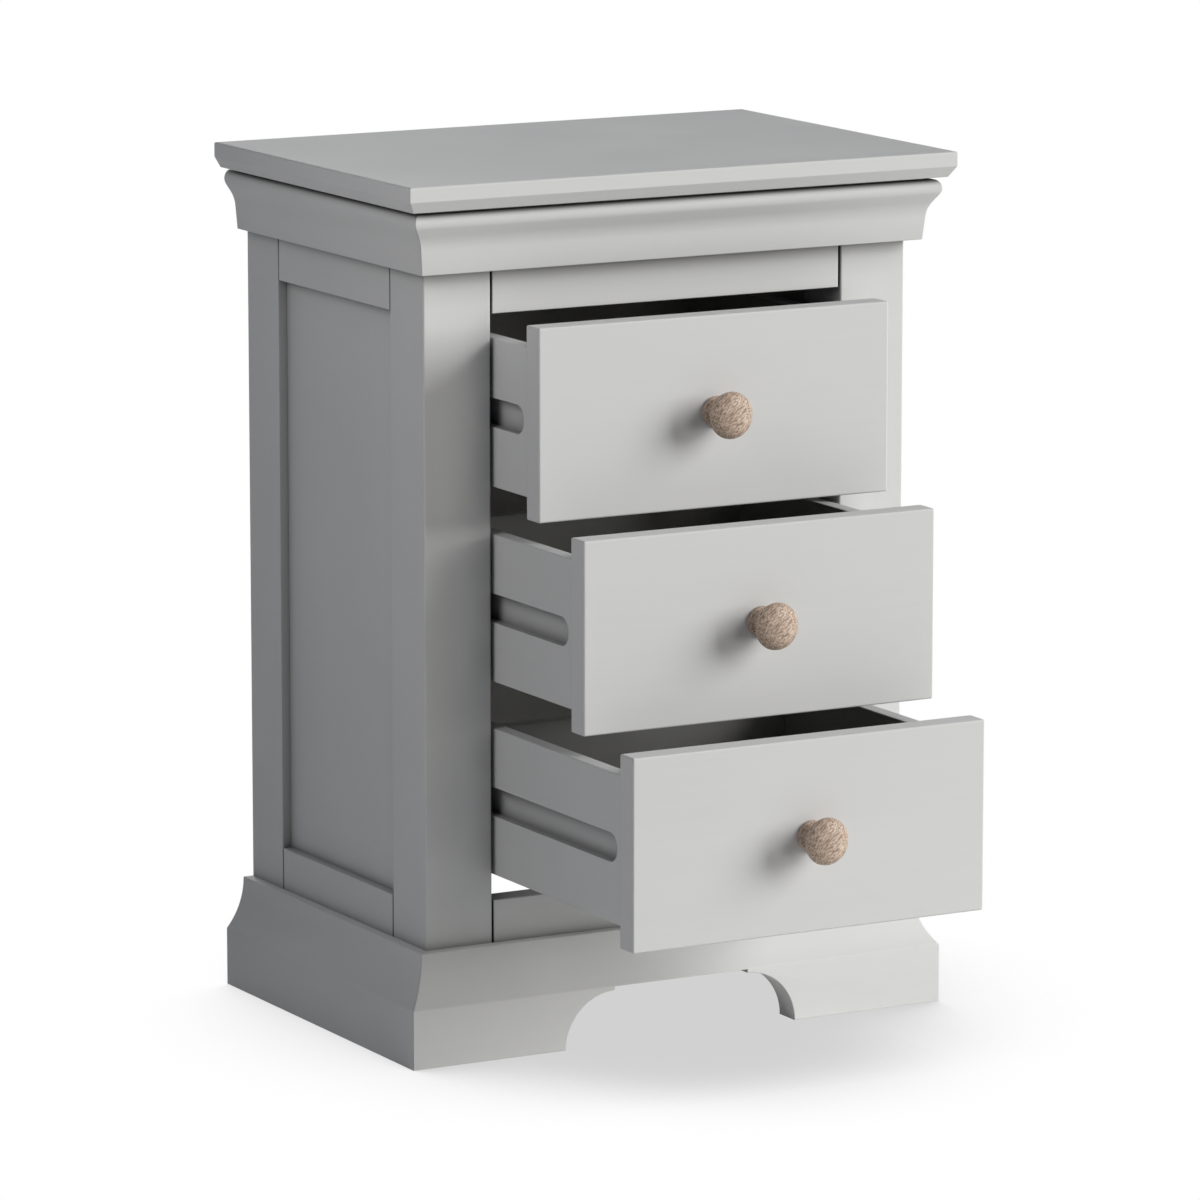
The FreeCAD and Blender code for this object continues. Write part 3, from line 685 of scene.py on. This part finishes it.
def cornice_section(base, top, nose_projection):
    """The cornice's face as (projection, height) points, from its foot up to the top board."""
    given = sizes()
    lean, slope = given.cornice_foot_lean, given.cornice_slope
    hollow_radius, nose_radius = given.cornice_hollow_radius, given.cornice_nose_radius
    crown_radius = given.cornice_crown_radius
    nose_height = top - given.cornice_nose_drop
    quirk_height = top - given.cornice_quirk_height
    nose_centre = (nose_projection - nose_radius, nose_height)
    nose = arc_points(nose_centre, nose_radius, -slope, 0.0, steps=12)
    crown_turn = math.asin((quirk_height - nose_height) / crown_radius)
    crown_centre = (nose_projection - crown_radius, nose_height)
    crown = arc_points(crown_centre, crown_radius, 0.0, crown_turn, steps=14)
    quirk = crown[-1][0] - given.cornice_quirk_depth

    foot = Vector((given.cornice_foot_projection, base))
    up_foot = Vector((math.sin(lean), math.cos(lean)))
    up_slope = Vector((math.sin(slope), math.cos(slope)))
    meeting = (Vector(nose[0]) - foot).cross(up_slope) / up_foot.cross(up_slope)
    hollow_start = foot + up_foot * (meeting - hollow_radius * math.tan((slope - lean) / 2))
    hollow_centre = hollow_start + Vector((math.cos(lean), -math.sin(lean))) * hollow_radius
    hollow = arc_points(hollow_centre, hollow_radius, math.pi - lean, math.pi - slope, steps=18)
    return (
        eased((0, base), foot, hollow[0], given.arris_radius)
        + hollow
        + nose
        + crown[1:-1]
        + eased(crown[-2], crown[-1], (quirk, quirk_height), given.arris_radius / 2)
        + [(quirk, quirk_height), (quirk, top)]
    )


def plinth_section(top, projection):
    """The plinth's face as (projection, height) points, from the floor up."""
    given = sizes()
    edge, fascia = given.plinth_top_projection, given.plinth_fascia_height
    turn = 2 * math.atan2(projection - edge, top - fascia)
    radius = (top - fascia) / math.sin(turn)
    cove = arc_points((edge + radius, top), radius, math.pi + turn, math.pi, steps=24)
    return (
        eased((0, 0), (projection, 0), (projection, fascia), given.arris_radius)
        + eased((projection, 0), cove[0], cove[1], given.arris_radius)
        + cove[1:-1]
        + eased(cove[-2], cove[-1], (0, top), given.arris_radius)
    )


def swept(face, behind, start, end):
    """A bmesh of a moulding: its face and its back, carried from one end to the other.

    start and end turn a (projection, height) point into a place.
    """
    low, high = face[0][1], face[-1][1]
    section = [(0.0, low)] + face + [(0.0, high)]
    if behind:
        section += [(-behind, high), (-behind, low)]
    bm = bmesh.new()
    ends = [[bm.verts.new(place(*point)) for point in section] for place in (start, end)]
    count = len(section)
    for index in range(count):
        after = (index + 1) % count
        bm.faces.new((ends[0][index], ends[0][after], ends[1][after], ends[1][index]))
    front = len(face) + 2
    for verts in ends:
        bm.faces.new(verts[:front])
        if behind:
            bm.faces.new([verts[0]] + verts[front - 1 :])
    return bm


def mitred_set(name, face_of):
    """Front, left and right meshes of one moulding, mitred at the two front corners."""
    front_low, front_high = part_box(name + "_front")
    left_low, left_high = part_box(name + "_left")
    half = -left_high.x
    projection = front_high.x - half
    datum = front_low.y + projection
    behind = front_high.y - datum
    rear = left_high.y
    face = face_of(front_low.z, front_high.z, projection)

    def front_end(side):
        return lambda out, height: (side * (half + max(out, 0.0)), datum - out, height)

    def side_end(side, at_rear):
        return lambda out, height: (side * (half + out), rear if at_rear else datum - out, height)

    meshes = {"front": swept(face, behind if behind > THINNEST else 0.0, front_end(-1), front_end(1))}
    for side, sign in (("left", -1), ("right", 1)):
        meshes[side] = swept(face, 0.0, side_end(sign, True), side_end(sign, False))
    return {side: closed_mesh(name + "_" + side, bm) for side, bm in meshes.items()}


def place_mouldings(name, meshes, painted_shade_from, reach_share):
    """Shows the three lengths of a moulding, each painted along its length."""
    for side, mesh in meshes.items():
        paint = grey_paint("level" if side == "front" else "deep", "all", painted_shade_from, reach_share)
        node = name + "_" + side
        place_piece(node + "_moulding", mesh, "carcass", paint, node)


def arch_mesh(front, depth):
    """The block that is cut out of the plinth's front: a stepped arch with rounded ends."""
    given = sizes()
    corner = given.arch_half_width - given.arch_radius
    height = given.arch_radius + given.arch_step
    right = arc_points((corner, 0.0), given.arch_radius, 0.0, math.pi / 2, steps=28)
    right = [(given.arch_half_width, -CUTTER_MARGIN)] + right + [(corner, height)]
    outline = right + [(-x, z) for x, z in reversed(right)]
    bm = bmesh.new()
    face = bm.faces.new([bm.verts.new((x, front - CUTTER_MARGIN, z)) for x, z in outline])
    pushed = bmesh.ops.extrude_face_region(bm, geom=[face])["geom"]
    verts = [item for item in pushed if isinstance(item, bmesh.types.BMVert)]
    bmesh.ops.translate(bm, verts=verts, vec=(0, depth + 2 * CUTTER_MARGIN, 0))
    return closed_mesh("plinth_arch", bm)


def cut_arch(mesh):
    """The plinth's front mesh with the arch cut through it."""
    low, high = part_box("plinth_front")
    cutter = stand("plinth_arch", arch_mesh(low.y, high.y - low.y))
    board = stand("plinth_board", mesh)
    cut = board.modifiers.new("arch", "BOOLEAN")
    cut.operation = "DIFFERENCE"
    cut.solver = "EXACT"
    cut.object = cutter
    result = shown_mesh(board)
    discard(cutter, bpy.data.meshes)
    discard(board, bpy.data.meshes)
    return result


def knob_outline(projection, head_radius):
    """A knob's outline as (radius, distance) points, from the bottom of its screw hole to its crown."""
    given = sizes()
    base, base_height = given.knob_base_radius, given.knob_base_height
    neck = Vector((given.knob_neck_radius, given.knob_neck_distance))
    head_distance, back = given.knob_head_distance, given.knob_head_back
    rise, depth = neck.y - base_height, projection - head_distance
    head = (0.0, head_distance)
    flare = arc_points((base, neck.y), base - neck.x, -math.pi / 2, -math.pi, steps=10, along=rise)
    head_back = arc_points(head, head_radius, -math.pi / 4, 0.0, steps=12, along=back)
    dome = arc_points(head, head_radius, 0.0, math.pi / 2, steps=22, along=depth)
    join = Vector(head_back[0])
    up_neck = Vector((0.0, given.knob_neck_rise))
    up_back = Vector((head_radius, back)).normalized() * given.knob_head_run
    waist = interpolate_bezier(neck, neck + up_neck, join - up_back, join, 12)
    hole, hole_depth = given.knob_hole_radius, given.knob_hole_depth
    return (
        [(0.0, hole_depth), (hole, hole_depth), (hole, 0.0)]
        + eased((0.0, 0.0), (base, 0.0), (base, base_height), given.knob_base_ease)
        + eased((base, 0.0), (base, base_height), flare[3], given.knob_rim_ease)
        + flare[4:-1]
        + [tuple(point) for point in waist]
        + head_back[1:]
        + dome[1:]
    )


def knob_mesh(drawer):
    """A knob turned round the line that runs out of its drawer's front, and where that line starts."""
    low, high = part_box(drawer + "_knob")
    centre = Vector(((low.x + high.x) / 2, high.y, (low.z + high.z) / 2))
    bm = bmesh.new()
    points = knob_outline(high.y - low.y, (high.x - low.x) / 2)
    verts = [bm.verts.new((centre.x + radius, centre.y - distance, centre.z)) for radius, distance in points]
    edges = [bm.edges.new(pair) for pair in zip(verts, verts[1:])]
    bmesh.ops.spin(
        bm, geom=verts + edges, cent=centre, axis=(0, 1, 0), angle=2 * math.pi, steps=72, use_merge=True
    )
    return closed_mesh(drawer + "_turned_knob", bm), centre


def solids_of(node):
    """The box of each loose solid in a node, as (lowest, highest) corners."""
    bm = bmesh.new()
    bm.from_mesh(frame["nodes"][node].data)
    bmesh.ops.remove_doubles(bm, verts=bm.verts, dist=MERGE)
    waiting = set(bm.verts)
    boxes = []
    while waiting:
        front = [waiting.pop()]
        corners = []
        while front:
            vert = front.pop()
            corners.append(vert.co.copy())
            for edge in vert.link_edges:
                other = edge.other_vert(vert)
                if other in waiting:
                    waiting.remove(other)
                    front.append(other)
        low = Vector([min(corner[axis] for corner in corners) for axis in range(3)])
        high = Vector([max(corner[axis] for corner in corners) for axis in range(3)])
        boxes.append((low, high))
    bm.free()
    return sorted(boxes, key=lambda box: [round(value, 4) for value in box[0]])


@made_once("node_groups")
def turned_screws(name):
    """Geometry nodes that turn a screw from an outline, sink a cross in its head and set it on points."""
    inputs = {
        "Points": "NodeSocketGeometry",
        "Outline": "NodeSocketObject",
        "Recess Length": VALUE,
        "Recess Width": VALUE,
        "Recess Depth": VALUE,
        "Seed": "NodeSocketInt",
        "Material": "NodeSocketMaterial",
    }
    tree, given = new_tree(name, "GeometryNodeTree", inputs, {"Screws": "NodeSocketGeometry"})

    def step(kind, output, inputs=None, **settings):
        """Adds a node and gives one of its outputs."""
        return wire(tree, kind, inputs, **settings).outputs[output]

    outline = step("GeometryNodeObjectInfo", "Geometry", {"Object": given["Outline"]})
    circle = step("GeometryNodeCurvePrimitiveCircle", "Curve", {"Resolution": 28, "Radius": 1.0})
    radius = step("GeometryNodeInputRadius", "Radius")
    curves = {"Curve": outline, "Profile Curve": circle, "Scale": radius, "Fill Caps": True}
    turned = step("GeometryNodeCurveToMesh", "Mesh", curves)
    sunk = step("GeometryNodeMergeByDistance", "Geometry", {"Geometry": turned, "Distance": MERGE})
    deep = calc(tree, "MULTIPLY", given["Recess Depth"], 2.0)
    for first, second in (("Recess Length", "Recess Width"), ("Recess Width", "Recess Length")):
        arm = step("ShaderNodeCombineXYZ", "Vector", {"X": given[first], "Y": given[second], "Z": deep})
        meshes = {"Mesh 1": sunk, "Mesh 2": step("GeometryNodeMeshCube", "Mesh", {"Size": arm})}
        sunk = step("GeometryNodeMeshBoolean", "Mesh", meshes, operation="DIFFERENCE", solver="EXACT")
    named = {"Name": "direction"}
    aim = step("GeometryNodeInputNamedAttribute", "Attribute", named, data_type="FLOAT_VECTOR")
    aimed = step("FunctionNodeAlignRotationToVector", "Rotation", {"Vector": aim}, axis="Z")
    chance = step("FunctionNodeRandomValue", 1, {"Seed": given["Seed"]}, data_type="FLOAT")
    spin = calc(tree, "MULTIPLY", chance, math.pi)
    twist = step("FunctionNodeAxisAngleToRotation", "Rotation", {"Axis": (0, 0, 1), "Angle": spin})
    turns = {"Rotation": aimed, "Rotate By": twist}
    driven = step("FunctionNodeRotateRotation", "Rotation", turns, rotation_space="LOCAL")
    places = {"Points": given["Points"], "Instance": sunk, "Rotation": driven}
    screws = step("GeometryNodeInstanceOnPoints", "Instances", places)
    real = step("GeometryNodeRealizeInstances", "Geometry", {"Geometry": screws})
    plating = {"Geometry": real, "Material": given["Material"]}
    plated = step("GeometryNodeSetMaterial", "Geometry", plating)
    wire(tree, "NodeGroupOutput", {"Screws": plated})
    return tree


def outline_curve(name, outline):
    """A straight curve along Z whose points carry a turned piece's radii."""
    curve = bpy.data.curves.new(name, "CURVE")
    curve.dimensions = "3D"
    spline = curve.splines.new("POLY")
    spline.points.add(len(outline) - 1)
    for point, (radius, distance) in zip(spline.points, outline):
        point.co = (0.0, 0.0, distance, 1.0)
        point.radius = radius
    return stand(name, curve)


def screw_mesh(name, heads, outline):
    """One mesh of all the screws in a set; heads are (place, direction) pairs."""
    points = bpy.data.meshes.new(name + "_points")
    points.from_pydata([place for place, _ in heads], [], [])
    direction = points.attributes.new("direction", "FLOAT_VECTOR", "POINT")
    for index, (_, aim) in enumerate(heads):
        direction.data[index].vector = aim
    carrier = stand(name + "_points", points)
    guide = outline_curve(name + "_outline", outline)
    values = {
        "Outline": guide,
        "Recess Length": sizes().screw_recess_length,
        "Recess Width": sizes().screw_recess_width,
        "Recess Depth": sizes().screw_recess_depth,
        "Seed": SCREW_SEED,
        "Material": zinc_plate(),
    }
    screws = carrier.modifiers.new("screws", "NODES")
    screws.node_group = turned_screws()
    for item in screws.node_group.interface.items_tree:
        if item.name in values:
            screws[item.identifier] = values[item.name]
    mesh = shown_mesh(carrier)
    mesh.name = name
    carrier.modifiers.clear()
    discard(carrier, bpy.data.meshes)
    discard(guide, bpy.data.curves)
    return mesh


def countersunk_outline(head_radius, length):
    """A wood screw's (radius, distance) points from its flat head to its point."""
    shank, rim = sizes().screw_radius, sizes().screw_rim
    return [
        (head_radius - rim / 2, 0.0),
        (head_radius, rim),
        (shank, sizes().screw_head_height),
        (shank, length - 2 * shank),
        (0.0, length),
    ]


def bolt_outline(head_radius, length):
    """A machine screw's (radius, distance) points from its rounded head to its end."""
    shank, head, chamfer = sizes().screw_radius, sizes().bolt_head_height, sizes().bolt_chamfer
    crown = arc_points((head_radius - head / 2, head / 2), head / 2, -math.pi / 2, 0.0, steps=6)
    return crown + [
        (head_radius, head - FLAT_STEP),
        (shank, head),
        (shank, length - chamfer),
        (shank - chamfer, length),
    ]


def screw_heads(node, axis, toward):
    """Head places and directions of a node's screws, with their length and head radius.

    toward gives the sign of a screw's direction along the axis from its box's middle.
    """
    heads = []
    for low, high in solids_of(node):
        middle = (low + high) / 2
        sign = toward(middle)
        place = middle.copy()
        place[axis] = low[axis] if sign > 0 else high[axis]
        aim = Vector((0, 0, 0))
        aim[axis] = sign
        heads.append((place, aim))
        length = high[axis] - low[axis]
        head_radius = (high[axis - 1] - low[axis - 1]) / 2
    return heads, length, head_radius


class CABINET_OT_paint_boards(bpy.types.Operator):
    """Paint every flat board, brushed along its length"""

    bl_idname = "cabinet.paint_boards"
    bl_label = "Paint Boards"

    def execute(self, context):
        for run, nodes in BOARDS.items():
            for node in nodes:
                if node.startswith(tuple(DRAWERS)):
                    dress(node, grey_paint(run, board_facing(node), "alone", 1.0))
                else:
                    dress(node, grey_paint(run, "all", "whole", 1.0))
        return {"FINISHED"}


class CABINET_OT_bare_wood(bpy.types.Operator):
    """Show the runners, blocks and dowels as planed beech"""

    bl_idname = "cabinet.bare_wood"
    bl_label = "Bare Wood"

    def execute(self, context):
        dress("top_fixing_blocks", planed_beech("level"))
        for drawer in DRAWERS:
            dress(drawer + "_dowels", planed_beech("deep"))
            for side in SIDES:
                dress(drawer + "_" + side + "_runner", planed_beech("deep"))
        return {"FINISHED"}


class CABINET_OT_cornice(bpy.types.Operator):
    """Run the hollow and nose of the cornice round the top of the cabinet"""

    bl_idname = "cabinet.cornice"
    bl_label = "Cornice"

    def execute(self, context):
        place_mouldings("cornice", mitred_set("cornice", cornice_section), "whole", CORNICE_PAINTED_SHADE)
        return {"FINISHED"}


class CABINET_OT_plinth(bpy.types.Operator):
    """Run the plinth round the foot of the cabinet and cut the arch in its front"""

    bl_idname = "cabinet.plinth"
    bl_label = "Plinth"

    def execute(self, context):
        meshes = mitred_set("plinth", lambda base, top, projection: plinth_section(top, projection))
        meshes["front"] = cut_arch(meshes["front"])
        place_mouldings("plinth", meshes, "alone", 1.0)
        return {"FINISHED"}


class CABINET_OT_knobs(bpy.types.Operator):
    """Turn an oak knob for each drawer"""

    bl_idname = "cabinet.knobs"
    bl_label = "Knobs"

    def execute(self, context):
        for drawer in DRAWERS:
            mesh, centre = knob_mesh(drawer)
            oak = knob_oak(drawer, centre)
            place_piece(drawer + "_turned_knob", mesh, drawer, oak, drawer + "_knob")
        return {"FINISHED"}


class CABINET_OT_screws(bpy.types.Operator):
    """Drive the screws of the back, the runners, the top and the knobs"""

    bl_idname = "cabinet.screws"
    bl_label = "Screws"

    def execute(self, context):
        sets = (
            ("back_panel_screws", 1, lambda middle: -1),
            ("runner_screws", 0, lambda middle: math.copysign(1, middle.x)),
            ("top_fixing_screws", 2, lambda middle: 1),
        )
        for node, axis, toward in sets:
            heads, length, head_radius = screw_heads(node, axis, toward)
            mesh = screw_mesh(node + "_set", heads, countersunk_outline(head_radius, length))
            place_piece(node + "_set", mesh, "carcass", zinc_plate(), node)
        for drawer in DRAWERS:
            node = drawer + "_knob_screw"
            heads, length, head_radius = screw_heads(node, 1, lambda middle: -1)
            mesh = screw_mesh(drawer + "_knob_bolt", heads, bolt_outline(head_radius, length))
            place_piece(drawer + "_knob_bolt", mesh, drawer, zinc_plate(), node)
        return {"FINISHED"}


def shown_as(tree, lit, shown):
    """A shader that lights the scene as one, and shows as another straight, mirrored or through glass."""
    path = wire(tree, "ShaderNodeLightPath").outputs
    mirrored = calc(tree, "MAXIMUM", path["Is Glossy Ray"], path["Is Transmission Ray"])
    seen = calc(tree, "MAXIMUM", path["Is Camera Ray"], mirrored)
    return wire(tree, "ShaderNodeMixShader", {0: seen, 1: lit, 2: shown}).outputs["Shader"]


def floor_paper():
    """White paper that throws light back at the cabinet, and shows as a white glow with a painted shadow
    close under it.
    """
    given = studio()
    material = bpy.data.materials.new("floor_paper")
    tree = emptied(material)
    paper = wire(tree, "ShaderNodeBsdfDiffuse", {"Color": opaque([given.floor_bounce] * 3)})
    # Painted shadow: the glow dims where the cabinet closes the floor in
    covered = wire(tree, "ShaderNodeAmbientOcclusion", {"Distance": given.shadow_reach}, samples=24)
    tone = wire(
        tree,
        "ShaderNodeMapRange",
        {
            "Value": covered.outputs["AO"],
            "From Min": given.shadow_core,
            "From Max": given.shadow_edge,
            "To Min": given.shadow_tone,
            "To Max": 1.0,
        },
        interpolation_type="SMOOTHSTEP",
    )
    white = wire(tree, "ShaderNodeEmission", {"Strength": tone.outputs[0]})
    either = shown_as(tree, paper.outputs["BSDF"], white.outputs["Emission"])
    wire(tree, "ShaderNodeOutputMaterial", {"Surface": either})
    return material


def white_room():
    """A world that gives even light and shows as white."""
    given = studio()
    world = bpy.data.worlds.new("white_room")
    tree = emptied(world)
    tint = {"Color": opaque(given.room_colour), "Strength": given.room_strength}
    light = wire(tree, "ShaderNodeBackground", tint)
    white = wire(tree, "ShaderNodeBackground", {"Color": (1.0, 1.0, 1.0, 1.0), "Strength": 1.0})
    either = shown_as(tree, light.outputs["Background"], white.outputs["Background"])
    wire(tree, "ShaderNodeOutputWorld", {"Surface": either})
    return world


def direction(turn, rise):
    """The direction to a place round to the right of the front by turn and up by rise."""
    level = math.cos(rise)
    return Vector((level * math.sin(turn), -level * math.cos(turn), math.sin(rise)))


def soft_lamp(name):
    """A square area lamp aimed at the cabinet's middle, from its own studio properties."""
    given = studio()
    lamp = bpy.data.lights.new(name + "_lamp", "AREA")
    lamp.energy = getattr(given, name + "_power")
    lamp.color = getattr(given, name + "_colour")
    lamp.size = getattr(given, name + "_width")
    away = direction(getattr(given, name + "_turn"), getattr(given, name + "_rise"))
    made = stand(name + "_lamp", lamp)
    made.location = (cad_low + cad_high) / 2 + away * getattr(given, name + "_distance")
    made.rotation_euler = (-away).to_track_quat("-Z", "Y").to_euler()


def studio_floor():
    """A round floor whose edge can't be told from the white round it."""
    bm = bmesh.new()
    bmesh.ops.create_circle(bm, cap_ends=True, segments=96, radius=FLOOR_RADIUS)
    mesh = bpy.data.meshes.new("studio_floor")
    bm.to_mesh(mesh)
    bm.free()
    mesh.materials.append(floor_paper())
    floor = stand("studio_floor", mesh)


def picture_camera():
    """The camera that takes the photograph's view."""
    given = studio()
    lens = bpy.data.cameras.new("picture_camera")
    lens.lens = given.camera_lens
    lens.sensor_width = SENSOR_WIDTH
    lens.clip_end = 100.0
    camera = stand("picture_camera", lens)
    camera.location = given.camera_place
    ahead = -direction(-given.camera_turn, given.camera_tilt)
    camera.rotation_euler = ahead.to_track_quat("-Z", "Y").to_euler()
    return camera


class CABINET_OT_studio(bpy.types.Operator):
    """Set up the floor, the lamps and the camera"""

    bl_idname = "cabinet.studio"
    bl_label = "Studio"

    def execute(self, context):
        scene = context.scene
        scene.view_settings.view_transform = "Standard"
        scene.world = white_room()
        studio_floor()
        for name in LAMPS:
            soft_lamp(name)
        scene.camera = picture_camera()
        return {"FINISHED"}


class CABINET_PT_sidebar(bpy.types.Panel):
    """Sizes, finishes and steps of the cabinet"""

    bl_label = "Bedside Cabinet"
    bl_idname = "CABINET_PT_sidebar"
    bl_space_type = "VIEW_3D"
    bl_region_type = "UI"
    bl_category = "Cabinet"

    def draw(self, context):
        for step in STEPS:
            self.layout.operator(step.bl_idname)
        for group in GROUPS:
            values = getattr(context.scene, group)
            column = self.layout.box().column()
            for name in values.__annotations__:
                column.prop(values, name)


STEPS = (
    CABINET_OT_paint_boards,
    CABINET_OT_bare_wood,
    CABINET_OT_cornice,
    CABINET_OT_plinth,
    CABINET_OT_knobs,
    CABINET_OT_screws,
    CABINET_OT_studio,
)
GROUPS = {
    "cabinet_sizes": CabinetSizes,
    "cabinet_finishes": CabinetFinishes,
    "cabinet_studio": CabinetStudio,
}


def register():
    for name, group in GROUPS.items():
        bpy.utils.register_class(group)
        setattr(bpy.types.Scene, name, PointerProperty(type=group))
    for step in STEPS:
        bpy.utils.register_class(step)
    bpy.utils.register_class(CABINET_PT_sidebar)


def unregister():
    bpy.utils.unregister_class(CABINET_PT_sidebar)
    for step in reversed(STEPS):
        bpy.utils.unregister_class(step)
    for name, group in GROUPS.items():
        delattr(bpy.types.Scene, name)
        bpy.utils.unregister_class(group)


def main():
    register()
    bpy.ops.cabinet.paint_boards()
    bpy.ops.cabinet.bare_wood()
    bpy.ops.cabinet.cornice()
    bpy.ops.cabinet.plinth()
    bpy.ops.cabinet.knobs()
    bpy.ops.cabinet.screws()
    bpy.ops.cabinet.studio()


if __name__ == "__main__":
    main()
